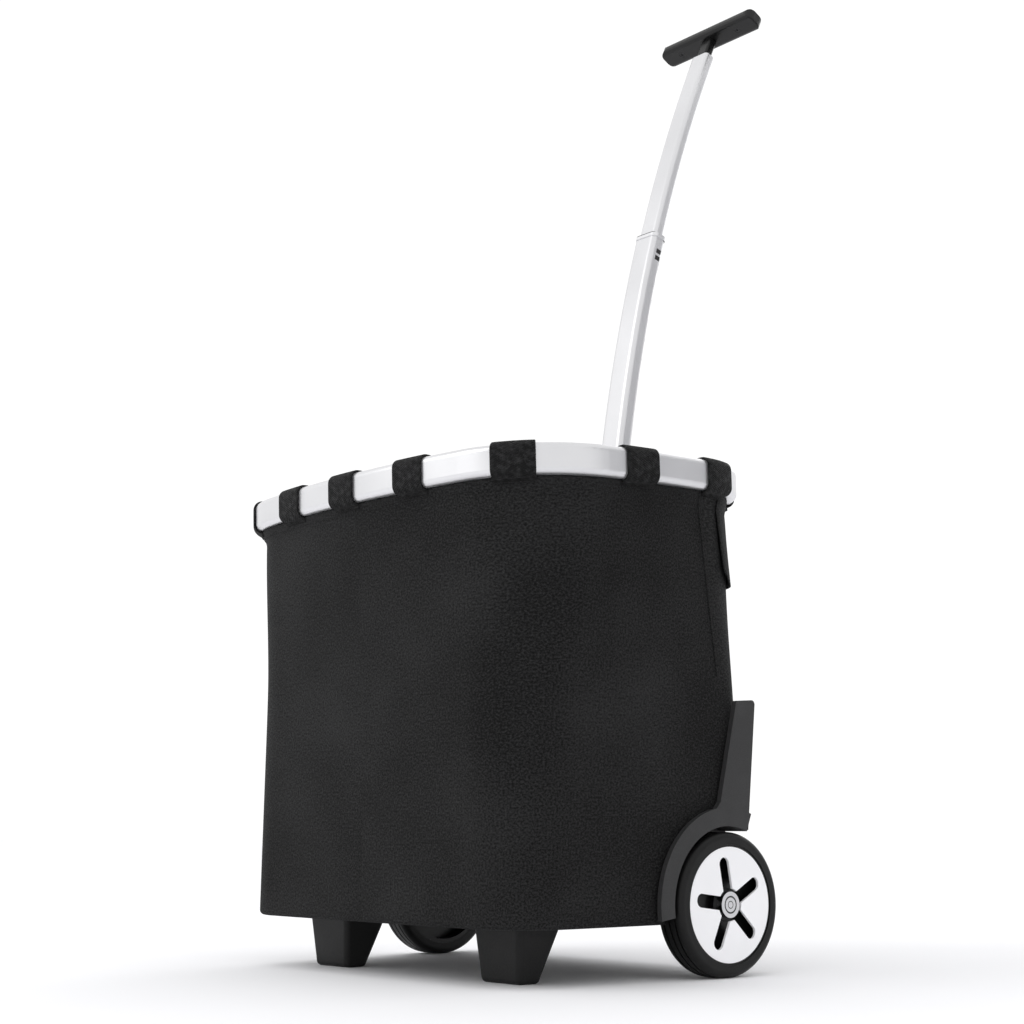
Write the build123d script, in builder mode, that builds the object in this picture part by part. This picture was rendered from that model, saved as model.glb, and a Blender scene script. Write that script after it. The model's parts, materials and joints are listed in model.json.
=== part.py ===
from build123d import *
import math
import os

# Wheeled shopping basket: a cloth bag hung in an oval rim, two wheels, two feet and a curved pole.
# Frame: +X is the right side seen from the front, +Y is backwards, +Z is up, the floor is Z = 0.
# Millimetres. Depths marked "from the rim" are measured in Y from the middle of the rim.

os.makedirs("parts", exist_ok=True)

# ---- rim ----
rim_width = 420.0
rim_depth = 293.0
rim_height = 24.0           # height of the tube's section
rim_thickness = 13.0        # depth of the tube's section
rim_top = 396.7             # top of the rim above the floor, at its middle
rim_tilt = 1.73             # degrees, rising to the back
rim_bow_front = 21.8        # how far the long sides bow out past the corner points
rim_bow_side = 11.4
rim_corner = 90.5
rim_edge = 5.0              # rounding of the section's edges
rim_wall = 1.5
rim_gap_half = 18.0         # half of the opening that the joiner closes

# ---- straps ----
strap_width = 33.0
strap_thickness = 1.8
strap_gap = 0.3             # air between webbing and rim
strap_tail = 15.0           # length sewn to the bag under the rim
tail_clearance = 0.8        # air between a tail and the bag
# distances of the straps' middles along the rim's outside, from the middle of its front
front_strap_places = {"front_left": -87.0, "front_middle": -5.0, "front_right": 80.0}
side_strap_places = {
    "corner_front": 179.0,
    "side_front": 285.0,
    "side_back": 375.0,
    "corner_back": 462.0,
    "back": 545.0,
}

# ---- bag ----
cloth = 2.0
bag_top_inset = 14.6        # from the rim's outside to the bag's outside
hem_clearance = 0.4         # air between the loops and the hem
bag_back_top = 124.5        # the back panel at the hem, from the rim
bag_waist_height = 215.0
bag_waist_half = 184.0
bag_waist_front = 125.0
bag_waist_back = 120.8
bag_floor_height = 42.0
bag_floor_half = 182.0
bag_floor_front = 125.0
bag_floor_back = 119.5
bag_bow = 2.5               # outward bow of each panel at the waist and the floor
bag_bow_top = (19.7, 9.4, 9.0)   # front, side and back bow at the hem
bag_corner_top = 76.0
bag_corner_waist = (60.0, 24.0)   # front and back corner radius
bag_corner_floor = (48.0, 18.0)
flap_thickness = 1.4
flap_low = 300.0
flap_high = 352.0

# ---- wheels ----
wheel_radius = 55.6
wheel_y = 87.6              # axle, from the rim
wheel_width = 25.9
wheel_face = 190.0          # outer face of the tyre
tyre_bore = 46.0
tyre_groove = 1.2
disc_radius = 44.2
disc_thickness = 2.0
disc_slot_tip = 36.7
disc_slot_width = 10.5
disc_slots = 5
disc_slot_turn = 100.8      # direction of the first slot, degrees from +Y towards +Z
hub_radius = 13.0
cap_radius = 10.0
axle_radius = 5.0
axle_clearance = 0.08
bush_wall = 2.0

# ---- wheel housings ----
arch_inner = 60.0
arch_outer = 74.5
arch_wall = 2.5
flange_inside = 184.6       # inner face of the flange and the arm, just outside the bag
flange_thickness = 4.4
well_wall_inside = 156.0
well_wall = 4.0
arch_back_angle = 69.0
arch_front_angle = 188.0
arm_top = 215.0
arm_back_top = 121.2         # corners of the arm, from the rim
arm_front_top = 99.5
arm_front_root = 79.5
arm_root = 134.0            # height where the arm meets the arch

# ---- rear beam, base and feet ----
beam_front = 124.0
beam_back = 154.0
beam_low = 44.0
beam_high = 80.0
beam_wall = 3.0
board_thickness = 3.0
board_clearance = 3.0
foot_x = 109.0
foot_y = -59.75             # from the rim
foot_bottom_y = -67.1       # the back face leans forwards
foot_top_size = (55.0, 42.5)
foot_bottom_size = (46.0, 20.4)
foot_edge = 5.0
foot_bottom_edge = 4.0
foot_bore = 6.5             # counterbore of its screw, from below
foot_bore_depth = 24.0
foot_head_radius = 5.6
foot_head_height = 3.6

# ---- pole: all stages are arcs of one circle whose centre lies behind the basket ----
pole_radius = 1600.0
pole_centre_y = 1732.1      # from the rim
pole_centre_z = 201.0
outer_tube = (31.6, 20.4, 6.4)     # width, depth, corner radius
middle_tube = (26.8, 16.0, 5.0)
inner_tube = (22.0, 12.0, 4.0)
outer_wall = 1.2
middle_wall = 1.1
inner_wall = 1.0
slide_gap = 0.15
outer_low = 50.0            # heights along the pole at full reach
outer_high = 420.0
middle_low = 345.0
middle_high = 660.0
inner_low = 577.5
inner_high = 864.0
collar_height = 4.0
collar_skirt = 18.0
plug_height = 14.0

# ---- grip ----
grip_length = 120.0
grip_depth = 22.0
grip_thickness = 11.0
grip_wall = 2.2
grip_corner = 4.4
grip_end_radius = 8.0       # rounding of the ends, seen from above
neck_length = 22.0
neck_size = (14.0, 9.0, 3.0)
cap_length = 4.0
grip_end_edge = 1.2
grip_screw_x = 37.0
button_size = (16.0, 9.0, 3.0)
button_travel = 2.5
button_lip = 1.3             # how far the button's lower edge reaches past its window
button_lip_thickness = 1.4
button_stop = 0.4           # air left under the button when it is pressed
rod_radius = 1.6
rod_clearance = 0.7
spring_radius = 3.4
spring_wire = 0.35

# ---- places worked out from the sizes above ----
seat = 0.05                 # clearance of pieces that are fixed in each other


def pole_angle(height):
    """Angle along the pole's arc, in degrees, of the point at this height."""
    return math.degrees(math.asin((height - pole_centre_z) / pole_radius))


def along(length):
    """Degrees of the pole's arc that a length takes."""
    return math.degrees(length / pole_radius)


neck_angle = pole_angle(inner_high) + along(neck_length)
grip_lean = math.radians(neck_angle)
grip_back = (
    pole_centre_y
    - pole_radius * math.cos(grip_lean)
    + grip_depth / 2 * math.cos(grip_lean)
    + grip_thickness * math.sin(grip_lean)
)
strap_reach = rim_depth / 2 + strap_gap + strap_thickness
rim_y = (strap_reach - grip_back) / 2      # puts the origin midway between front and back
axle_y = rim_y + wheel_y
axle_z = wheel_radius
arc_y = rim_y + pole_centre_y
arch_skin = arch_inner + arch_wall
well_radius = arch_skin + 0.7
hem_depth = rim_height + strap_gap + strap_thickness + hem_clearance

tilt = math.radians(rim_tilt)
rim_plane = Plane(
    origin=(0, rim_y, rim_top), x_dir=(1, 0, 0), z_dir=(0, -math.sin(tilt), math.cos(tilt))
)
pole_axis = Axis((0, arc_y, pole_centre_z), (-1, 0, 0))
axle_axis = Axis((0, axle_y, axle_z), (1, 0, 0))
axle_plane = Plane(origin=(0, axle_y, axle_z), x_dir=(1, 0, 0), z_dir=(0, -1, 0))


def pole_plane(angle):
    """Plane across the pole at an angle of its arc: local X is +X, local Y is backwards."""
    turn = math.radians(angle)
    centre = (0, arc_y - pole_radius * math.cos(turn), pole_centre_z + pole_radius * math.sin(turn))
    return Plane(origin=centre, x_dir=(1, 0, 0), z_dir=(0, math.sin(turn), math.cos(turn)))


def side_plane(side, inner, outer):
    """Plane facing +X at the lower end of a slab between two distances from the middle."""
    low = min(side * inner, side * outer)
    return Plane(origin=(low, axle_y, axle_z), x_dir=(0, 1, 0), z_dir=(1, 0, 0))


def save(name, part):
    """Labels a finished piece and writes its file."""
    part.label = name
    export_step(part, "parts/" + name + ".step")


def draw_outline(half_width, front, back, bows, radius_front, radius_back):
    """Four gentle arcs with rounded corners. bows are those of the front, the sides and the back."""
    corner_x = half_width - bows[1]
    corner_front = -(front - bows[0])
    corner_back = back - bows[2]
    middle = (corner_front + corner_back) / 2
    with BuildLine() as outline:
        ThreePointArc((-corner_x, corner_front), (0, -front), (corner_x, corner_front))
        ThreePointArc((corner_x, corner_front), (half_width, middle), (corner_x, corner_back))
        ThreePointArc((corner_x, corner_back), (0, back), (-corner_x, corner_back))
        ThreePointArc((-corner_x, corner_back), (-half_width, middle), (-corner_x, corner_front))
    make_face(outline.edges())
    fillet(vertices().group_by(Axis.Y)[0], radius=radius_front)
    fillet(vertices().group_by(Axis.Y)[-1], radius=radius_back)


def draw_rim(inset):
    """The rim's outline, moved inwards by inset."""
    bows = (rim_bow_front, rim_bow_side, rim_bow_front)
    draw_outline(rim_width / 2, rim_depth / 2, rim_depth / 2, bows, rim_corner, rim_corner)
    if inset:
        offset(amount=-inset, mode=Mode.REPLACE)


with BuildSketch() as rim_sketch:
    draw_rim(0)
with BuildSketch() as centre_sketch:
    draw_rim(rim_thickness / 2)
rim_length = rim_sketch.face().outer_wire().length
centre_line = centre_sketch.face().outer_wire()
centre_reach = rim_depth / 2 - rim_thickness / 2
front_fraction = centre_line.param_at_point((0, -centre_reach))
middle_plane = rim_plane.offset(-rim_height / 2)
back_distance = rim_length / 2


def rim_path(start, end):
    """Centre line of the rim's section between two distances along the rim from its front middle."""
    low = (front_fraction + start / rim_length) % 1.0
    high = (front_fraction + end / rim_length) % 1.0
    if low < high:
        wire = centre_line.trim(low, high)
    else:
        wire = Wire(centre_line.trim(low, 1.0).edges() + centre_line.trim(0.0, high).edges())
    return middle_plane.from_local_coords(wire)


def section_plane(path):
    """Plane across a path at its start: local X is up, local Y is outwards."""
    return Plane(origin=path @ 0, x_dir=middle_plane.z_dir, z_dir=path % 0)


def draw_section(grow, mode=Mode.ADD):
    """The rim's rounded section, grown by a distance."""
    RectangleRounded(
        rim_height + 2 * grow, rim_thickness + 2 * grow, rim_edge + grow, mode=mode
    )


# ---- rim frame ----
joiner_half = rim_gap_half + 13.0
joiner_front = rim_depth / 2 - rim_thickness - 4.5
joiner_back = rim_depth / 2 + 10.5
joiner_screw_x = 24.5
joiner_screw_places = [(-joiner_screw_x, joiner_back), (joiner_screw_x, joiner_back)]
joiner_screw_radius = 2.0
joiner_screw_length = 11.0
joiner_head_radius = 4.0
joiner_head_height = 2.4
joiner_head_depth = 3.0            # depth of the heads' counterbores
cross_width = 0.9                  # the cross recess of the screws
cross_length = 5.0
cross_depth = 1.4
screw_clearance = 0.1

with BuildPart() as rim_frame:
    rim_run = rim_path(-back_distance + rim_gap_half, back_distance - rim_gap_half)
    with BuildSketch(section_plane(rim_run)):
        draw_section(0)
        draw_section(-rim_wall, Mode.SUBTRACT)
    sweep(path=rim_run)
    with Locations(middle_plane):
        with Locations(*joiner_screw_places):
            Cylinder(
                radius=joiner_screw_radius + screw_clearance,
                height=2 * (rim_thickness / 2 + 6.5),
                rotation=(90, 0, 0),
                mode=Mode.SUBTRACT,
            )
save("rim_frame", rim_frame.part)


# ---- pole tubes ----
def pole_block(size, grow, low, high):
    """A solid stretch of the pole between two angles; its section is grown by a distance."""
    with BuildPart() as block:
        with BuildSketch(pole_plane(low)):
            RectangleRounded(size[0] + 2 * grow, size[1] + 2 * grow, size[2] + grow)
        revolve(axis=pole_axis, revolution_arc=high - low)
    return block.part


def pole_ring(outside, grow_outside, inside, grow_inside, low, high):
    """A hollow stretch of the pole between two angles."""
    with BuildPart() as ring:
        with BuildSketch(pole_plane(low)):
            width, depth, corner = outside
            RectangleRounded(
                width + 2 * grow_outside, depth + 2 * grow_outside, corner + grow_outside
            )
            width, depth, corner = inside
            RectangleRounded(
                width + 2 * grow_inside,
                depth + 2 * grow_inside,
                corner + grow_inside,
                mode=Mode.SUBTRACT,
            )
        revolve(axis=pole_axis, revolution_arc=high - low)
    return ring.part


outer_low_angle = pole_angle(outer_low)
outer_high_angle = pole_angle(outer_high)
middle_low_angle = pole_angle(middle_low)
middle_high_angle = pole_angle(middle_high)
inner_low_angle = pole_angle(inner_low)
inner_high_angle = pole_angle(inner_high)
outer_collar_top = outer_high_angle + along(collar_height + 1.5)

with BuildPart() as pole_outer_tube:
    add(pole_ring(outer_tube, 0, outer_tube, -outer_wall, outer_low_angle, outer_high_angle))
save("pole_outer_tube", pole_outer_tube.part)

with BuildPart() as pole_outer_collar:
    add(pole_ring(outer_tube, 0.8, middle_tube, slide_gap, outer_high_angle, outer_collar_top))
    skirt_low = outer_high_angle - along(collar_skirt)
    add(
        pole_ring(
            outer_tube, -outer_wall - seat, middle_tube, slide_gap, skirt_low, outer_high_angle
        )
    )
save("pole_outer_collar", pole_outer_collar.part)

window_size = (6.0, 4.6)           # across and along the tube
window_steps = (13.5, 20.5)        # below the top of the middle tube
tab_sink = 0.15                    # the tabs' faces lie this far inside the tube's sides
tab_root = 0.3                     # how far the tabs reach into the collar's skirt
tab_clearance = 0.1                # air round a tab in its window
middle_skirt_low = middle_high_angle - along(window_steps[1] + 5)


def window_blocks(reach, length, clear):
    """Small blocks through both narrow sides of the middle tube, for its windows and the collar's tabs.
    They stand out of the side by a reach, and go inwards from there by a length."""
    middle = middle_tube[0] / 2 + reach - length / 2
    with BuildPart() as blocks:
        for step in window_steps:
            with Locations(pole_plane(middle_high_angle - along(step))):
                with Locations((middle, 1.5, 0), (-middle, 1.5, 0)):
                    Box(length, window_size[0] - clear, window_size[1] - clear)
    return blocks.part


with BuildPart() as pole_middle_tube:
    add(pole_ring(middle_tube, 0, middle_tube, -middle_wall, middle_low_angle, middle_high_angle))
    add(window_blocks(middle_wall, 3 * middle_wall, 0), mode=Mode.SUBTRACT)
save("pole_middle_tube", pole_middle_tube.part)

with BuildPart() as pole_middle_collar:
    collar_top = middle_high_angle + along(collar_height)
    add(pole_ring(middle_tube, 0.6, inner_tube, slide_gap, middle_high_angle, collar_top))
    add(
        pole_ring(
            middle_tube, -middle_wall - seat, inner_tube, slide_gap, middle_skirt_low, middle_high_angle
        )
    )
    with BuildPart(mode=Mode.PRIVATE) as tabs:
        add(window_blocks(-tab_sink, middle_wall + tab_root - tab_sink, 2 * tab_clearance))
    add(tabs.part)
    add(pole_block(inner_tube, slide_gap, middle_skirt_low, collar_top), mode=Mode.SUBTRACT)
save("pole_middle_collar", pole_middle_collar.part)

plug_turn = along(plug_height)
spigot_turn = along(10.0)
latch_size = (3.0, 6.0, 9.0)


def bottom_plug(name, tube, wall, host, host_wall, low, rod_hole):
    """Plug at the lower end of a sliding tube: it runs in the host tube and carries the latch."""
    latch_x = host[0] / 2 - host_wall - slide_gap - latch_size[0] / 2
    with BuildPart() as plug:
        add(pole_block(host, -host_wall - slide_gap, low - plug_turn, low))
        add(pole_block(tube, -wall - seat, low, low + spigot_turn))
        with Locations(pole_plane(low - plug_turn / 2)):
            Box(1.6 * rod_hole, 1.6 * rod_hole, 60, mode=Mode.SUBTRACT)
            with Locations((latch_x, 0, 0)):
                Box(latch_size[0] + 0.2, latch_size[1] + 0.2, latch_size[2] + 0.2, mode=Mode.SUBTRACT)
    save(name + "_plug", plug.part)
    with BuildPart() as latch:
        with Locations(pole_plane(low - plug_turn / 2)):
            with Locations((latch_x, 0, 0)):
                Box(*latch_size)
        fillet(latch.edges().filter_by(Axis.X), radius=0.8)
    save(name + "_latch", latch.part)


bottom_plug(
    "pole_middle", middle_tube, middle_wall, outer_tube, outer_wall, middle_low_angle, 3.0
)
bottom_plug(
    "pole_inner", inner_tube, inner_wall, middle_tube, middle_wall, inner_low_angle, 3.0
)

with BuildPart() as pole_inner_tube:
    add(pole_ring(inner_tube, 0, inner_tube, -inner_wall, inner_low_angle, inner_high_angle))
save("pole_inner_tube", pole_inner_tube.part)

# ---- grip: its underside lies across the pole at the top of the neck ----
grip_plane = pole_plane(neck_angle)
section_origin = grip_plane.origin + grip_plane.z_dir * (grip_thickness / 2)
shell_half = grip_length / 2 - cap_length
neck_flange_low = grip_wall + 0.1
neck_flange_high = neck_flange_low + 2.0
button_low = neck_flange_high + button_travel + button_stop
button_high = grip_thickness + 1.0
rod_clear = rod_radius + rod_clearance


def grip_section_plane(x):
    """Plane facing +X through the grip's middle line: local X is backwards, local Y is up."""
    origin = section_origin + Vector(x, 0, 0)
    return Plane(origin=origin, x_dir=grip_plane.y_dir, z_dir=(1, 0, 0))


def grip_outline():
    """A block with the grip's outline as seen from above, to cut the round ends with."""
    with BuildPart() as outline:
        with BuildSketch(grip_plane.offset(-grip_thickness)):
            RectangleRounded(grip_length, grip_depth, grip_end_radius)
        extrude(amount=3 * grip_thickness)
    return outline.part


def grip_bar(inset, low, high):
    """The grip's rounded section between two X positions, made smaller by an inset."""
    with BuildPart() as bar:
        with BuildSketch(grip_section_plane(low)):
            RectangleRounded(
                grip_depth - 2 * inset, grip_thickness - 2 * inset, max(grip_corner - inset, 0.5)
            )
        extrude(amount=high - low)
    return bar.part


def grip_shell(upper):
    """One half of the hollow bar: the upper or the lower one."""
    side = 1 if upper else -1
    with BuildPart() as shell:
        add(grip_bar(0, -shell_half, shell_half))
        add(grip_bar(grip_wall, -shell_half - 1, shell_half + 1), mode=Mode.SUBTRACT)
        with Locations(grip_section_plane(0)):
            with Locations((0, -side * grip_thickness / 2, 0)):
                Box(2 * grip_depth, grip_thickness, 2 * grip_length, mode=Mode.SUBTRACT)
        add(grip_outline(), mode=Mode.INTERSECT)
    return shell.part


screw_places = [(-grip_screw_x, 0), (grip_screw_x, 0)]

with BuildPart() as grip_lower_shell:
    add(grip_shell(False))
    with BuildSketch(grip_plane):
        RectangleRounded(neck_size[0] + 0.2, neck_size[1] + 0.2, neck_size[2])
    extrude(amount=grip_wall + 1, mode=Mode.SUBTRACT)
    with BuildSketch(grip_plane):
        with Locations(*screw_places):
            Circle(1.6)
    extrude(amount=grip_wall + 1, mode=Mode.SUBTRACT)
    with BuildSketch(grip_plane):
        with Locations(*screw_places):
            Circle(3.2)
    extrude(amount=1.2, mode=Mode.SUBTRACT)
save("grip_lower_shell", grip_lower_shell.part)

with BuildPart() as grip_upper_shell:
    add(grip_shell(True))
    with BuildSketch(grip_plane.offset(grip_wall + 0.2)):
        with Locations(*screw_places):
            Circle(3.4)
    extrude(amount=grip_thickness - 2 * grip_wall)
    with BuildSketch(grip_plane):
        with Locations(*screw_places):
            Circle(1.5)
    extrude(amount=grip_thickness - grip_wall, mode=Mode.SUBTRACT)
    with BuildSketch(grip_plane.offset(button_low)):
        RectangleRounded(button_size[0] + 0.4, button_size[1] + 0.4, button_size[2])
    extrude(amount=grip_thickness, mode=Mode.SUBTRACT)
save("grip_upper_shell", grip_upper_shell.part)

with BuildPart() as grip_end_caps:
    add(grip_bar(0, shell_half, shell_half + cap_length))
    add(grip_bar(0, -shell_half - cap_length, -shell_half))
    add(grip_outline(), mode=Mode.INTERSECT)
    end_faces = grip_end_caps.faces().filter_by(Plane.YZ).sort_by(Axis.X)
    fillet(end_faces[0].edges() + end_faces[-1].edges(), radius=grip_end_edge)
save("grip_end_caps", grip_end_caps.part)

with BuildPart() as grip_screws:
    with BuildSketch(grip_plane.offset(0.1)):
        with Locations(*screw_places):
            Circle(3.0)
    extrude(amount=1.1)
    with BuildSketch(grip_plane.offset(0.5)):
        with Locations(*screw_places):
            Circle(1.45)
    extrude(amount=6.5)
    with Locations(grip_plane):
        with Locations(*[(x, 0, 0.1) for x, y in screw_places]):
            Box(0.8, 3.6, 1.0, mode=Mode.SUBTRACT)
            Box(3.6, 0.8, 1.0, mode=Mode.SUBTRACT)
save("grip_screws", grip_screws.part)

with BuildPart() as grip_neck:
    add(
        pole_block(
            inner_tube, -inner_wall - seat, inner_high_angle - along(24), inner_high_angle
        )
    )
    add(pole_block(neck_size, 0, inner_high_angle, neck_angle))
    with BuildSketch(grip_plane):
        RectangleRounded(*neck_size)
    extrude(amount=neck_flange_low)
    with BuildSketch(grip_plane.offset(neck_flange_low)):
        RectangleRounded(neck_size[0] + 5, neck_size[1] + 4, neck_size[2])
    extrude(amount=neck_flange_high - neck_flange_low)
    with BuildSketch(pole_plane(inner_high_angle - along(30))):
        Circle(rod_clear)
    revolve(axis=pole_axis, revolution_arc=along(30 + neck_length), mode=Mode.SUBTRACT)
    with BuildSketch(grip_plane):
        Circle(rod_clear)
    extrude(amount=20, mode=Mode.SUBTRACT)
save("grip_neck", grip_neck.part)

with BuildPart() as release_button:
    with BuildSketch(grip_plane.offset(button_low)):
        RectangleRounded(*button_size)
    extrude(amount=button_high - button_low)
    top_face = release_button.faces().sort_by(Axis(grip_plane.origin, grip_plane.z_dir))[-1]
    fillet(top_face.edges(), radius=0.8)
    with BuildSketch(grip_plane.offset(button_low)):
        RectangleRounded(
            button_size[0] + 2 * button_lip, button_size[1] + 2 * button_lip, button_size[2]
        )
    extrude(amount=button_lip_thickness)
save("release_button", release_button.part)

with BuildPart() as release_rod:
    with BuildSketch(pole_plane(inner_low_angle + along(4))):
        Circle(rod_radius)
    revolve(axis=pole_axis, revolution_arc=neck_angle - inner_low_angle - along(4))
    with BuildSketch(grip_plane):
        Circle(rod_radius)
    extrude(amount=button_low)
save("release_rod", release_rod.part)

spring_seat = spring_wire + 0.1    # from a seat's face to the middle of the wire
with BuildPart() as release_spring:
    spring_height = button_low - neck_flange_high - 2 * spring_seat
    with BuildLine():
        coil = Helix(
            pitch=spring_height / 2,
            height=spring_height,
            radius=spring_radius,
            center=grip_plane.origin + grip_plane.z_dir * (neck_flange_high + spring_seat),
            direction=grip_plane.z_dir,
        )
    with BuildSketch(Plane(origin=coil @ 0, z_dir=coil % 0)):
        Circle(spring_wire)
    sweep()
save("release_spring", release_spring.part)

# ---- joiner at the back of the rim ----
with BuildPart() as rim_joiner:
    with Locations(rim_plane.offset(-rim_height / 2)):
        with Locations((0, (joiner_front + joiner_back) / 2, 0)):
            Box(2 * joiner_half, joiner_back - joiner_front, rim_height + 6)
    fillet(rim_joiner.edges().filter_by(Axis(rim_plane.origin, rim_plane.z_dir)), radius=6)
    fillet(rim_joiner.faces().filter_by(rim_plane).edges(), radius=1.5)
    for end in (-1, 1):
        near = back_distance + end * (rim_gap_half - 0.1)
        far = back_distance + end * (joiner_half + 10)
        socket = rim_path(min(near, far), max(near, far))
        with BuildSketch(section_plane(socket)):
            draw_section(seat)
        sweep(path=socket, mode=Mode.SUBTRACT)
    add(pole_block(outer_tube, seat, 3.0, outer_high_angle + 2), mode=Mode.SUBTRACT)
    with Locations(rim_plane.offset(-rim_height / 2)):
        with Locations(*joiner_screw_places):
            Cylinder(
                radius=joiner_screw_radius + screw_clearance,
                height=40,
                rotation=(90, 0, 0),
                mode=Mode.SUBTRACT,
            )
            Cylinder(
                radius=joiner_head_radius + 2 * screw_clearance,
                height=2 * joiner_head_depth,
                rotation=(90, 0, 0),
                mode=Mode.SUBTRACT,
            )
save("rim_joiner", rim_joiner.part)

with BuildPart() as joiner_screws:
    head_y = joiner_back - joiner_head_depth + screw_clearance
    with Locations(rim_plane.offset(-rim_height / 2)):
        for x in (-joiner_screw_x, joiner_screw_x):
            with Locations((x, head_y + joiner_head_height / 2, 0)):
                Cylinder(radius=joiner_head_radius, height=joiner_head_height, rotation=(90, 0, 0))
            with Locations((x, head_y - joiner_screw_length / 2, 0)):
                Cylinder(radius=joiner_screw_radius, height=joiner_screw_length, rotation=(90, 0, 0))
            with Locations((x, head_y + joiner_head_height, 0)):
                Box(cross_width, cross_depth, cross_length, mode=Mode.SUBTRACT)
                Box(cross_length, cross_depth, cross_width, mode=Mode.SUBTRACT)
save("joiner_screws", joiner_screws.part)

# ---- straps ----
strap_places = dict(front_strap_places)
for name, distance in side_strap_places.items():
    strap_places[name + "_left"] = -distance
    strap_places[name + "_right"] = distance

tail_top = rim_height / 2 - rim_edge
tail_bottom = hem_depth - rim_height / 2 + strap_tail
tail_out = rim_thickness / 2 - bag_top_inset + tail_clearance + strap_thickness / 2
for name, distance in strap_places.items():
    with BuildPart() as strap:
        run = rim_path(distance - strap_width / 2, distance + strap_width / 2)
        with BuildSketch(section_plane(run)):
            draw_section(strap_gap + strap_thickness)
            with Locations((-(tail_top + tail_bottom) / 2, tail_out)):
                Rectangle(tail_bottom - tail_top, strap_thickness)
            draw_section(strap_gap, Mode.SUBTRACT)
        sweep(path=run)
    save("strap_" + name, strap.part)

# ---- bag ----
hem_plane = rim_plane.offset(-hem_depth)
waist_plane = Plane(origin=(0, rim_y, bag_waist_height))
floor_plane = Plane(origin=(0, rim_y, bag_floor_height))
panel_bows = (bag_bow, bag_bow, bag_bow)
hem_half = rim_width / 2 - bag_top_inset
hem_front = rim_depth / 2 - bag_top_inset


def bag_form(grow, floor_lift, hem_lift):
    """The bag's outer form, grown by a distance, with its floor and its hem moved up."""
    with BuildPart() as form:
        with BuildSketch(floor_plane.offset(floor_lift)):
            draw_outline(
                bag_floor_half + grow,
                bag_floor_front + grow,
                bag_floor_back + grow,
                panel_bows,
                bag_corner_floor[0] + grow,
                bag_corner_floor[1] + grow,
            )
        with BuildSketch(waist_plane):
            draw_outline(
                bag_waist_half + grow,
                bag_waist_front + grow,
                bag_waist_back + grow,
                panel_bows,
                bag_corner_waist[0] + grow,
                bag_corner_waist[1] + grow,
            )
        with BuildSketch(hem_plane.offset(hem_lift)):
            draw_outline(
                hem_half + grow,
                hem_front + grow,
                bag_back_top + grow,
                bag_bow_top,
                bag_corner_top + grow,
                bag_corner_top + grow,
            )
        loft(ruled=True)
    return form.part


def well_cut(reach):
    """Both wheel wells as round blocks that start a distance beyond the well walls."""
    with BuildPart() as wells:
        start = well_wall_inside - reach
        for side in (-1, 1):
            with Locations((side * (start + rim_width / 2), axle_y, axle_z)):
                Cylinder(radius=well_radius + reach, height=rim_width, rotation=(0, 90, 0))
    return wells.part


with BuildPart() as bag_walls:
    add(bag_form(0, 0, 0))
    add(bag_form(-cloth, -1.0, 1.0), mode=Mode.SUBTRACT)
    add(well_cut(0.3), mode=Mode.SUBTRACT)

front_seam = rim_y - 58.0
back_seam = rim_y + 52.0
seam_far = 400.0
panels = {
    "bag_front_panel": (-seam_far, seam_far, -seam_far, front_seam),
    "bag_back_panel": (-seam_far, seam_far, back_seam, seam_far),
    "bag_left_panel": (-seam_far, 0, front_seam, back_seam),
    "bag_right_panel": (0, seam_far, front_seam, back_seam),
}
for name, (x_low, x_high, y_low, y_high) in panels.items():
    with BuildPart() as panel:
        add(bag_walls.part)
        with Locations(((x_low + x_high) / 2, (y_low + y_high) / 2, rim_top / 2)):
            Box(x_high - x_low, y_high - y_low, 2 * rim_top, mode=Mode.INTERSECT)
    save(name, panel.part)

foot_places = [(-foot_x, rim_y + foot_bottom_y), (foot_x, rim_y + foot_bottom_y)]
foot_screw_radius = 3.0


def inner_outline(clear):
    """The outline of the bag's floor inside its walls, with a clearance."""
    draw_outline(
        bag_floor_half - cloth - clear,
        bag_floor_front - cloth - clear,
        bag_floor_back - cloth - clear,
        panel_bows,
        bag_corner_floor[0] - cloth - clear,
        bag_corner_floor[1] - cloth - clear,
    )


with BuildPart() as bag_floor_panel:
    with BuildSketch(floor_plane):
        inner_outline(0.3)
    extrude(amount=cloth)
    add(well_cut(0.3), mode=Mode.SUBTRACT)
    with Locations(*[(x, y, bag_floor_height) for x, y in foot_places]):
        Cylinder(radius=foot_screw_radius + 0.3, height=20, mode=Mode.SUBTRACT)
save("bag_floor_panel", bag_floor_panel.part)

board_low = bag_floor_height + cloth
with BuildPart() as base_board:
    with BuildSketch(floor_plane.offset(cloth)):
        inner_outline(board_clearance)
    extrude(amount=board_thickness)
    add(well_cut(10.0), mode=Mode.SUBTRACT)
    with Locations(*[(x, y, board_low) for x, y in foot_places]):
        Cylinder(radius=foot_screw_radius + seat, height=20, mode=Mode.SUBTRACT)
save("base_board", base_board.part)

with BuildPart() as back_flap:
    add(bag_form(0.3 + flap_thickness, 0, 0))
    add(bag_form(0.3, -1.0, 1.0), mode=Mode.SUBTRACT)
    flap_front = back_seam + 20
    with Locations((0, flap_front + seam_far / 2, (flap_low + flap_high) / 2)):
        Box(seam_far, seam_far, flap_high - flap_low, mode=Mode.INTERSECT)
save("bag_back_flap", back_flap.part)

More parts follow.
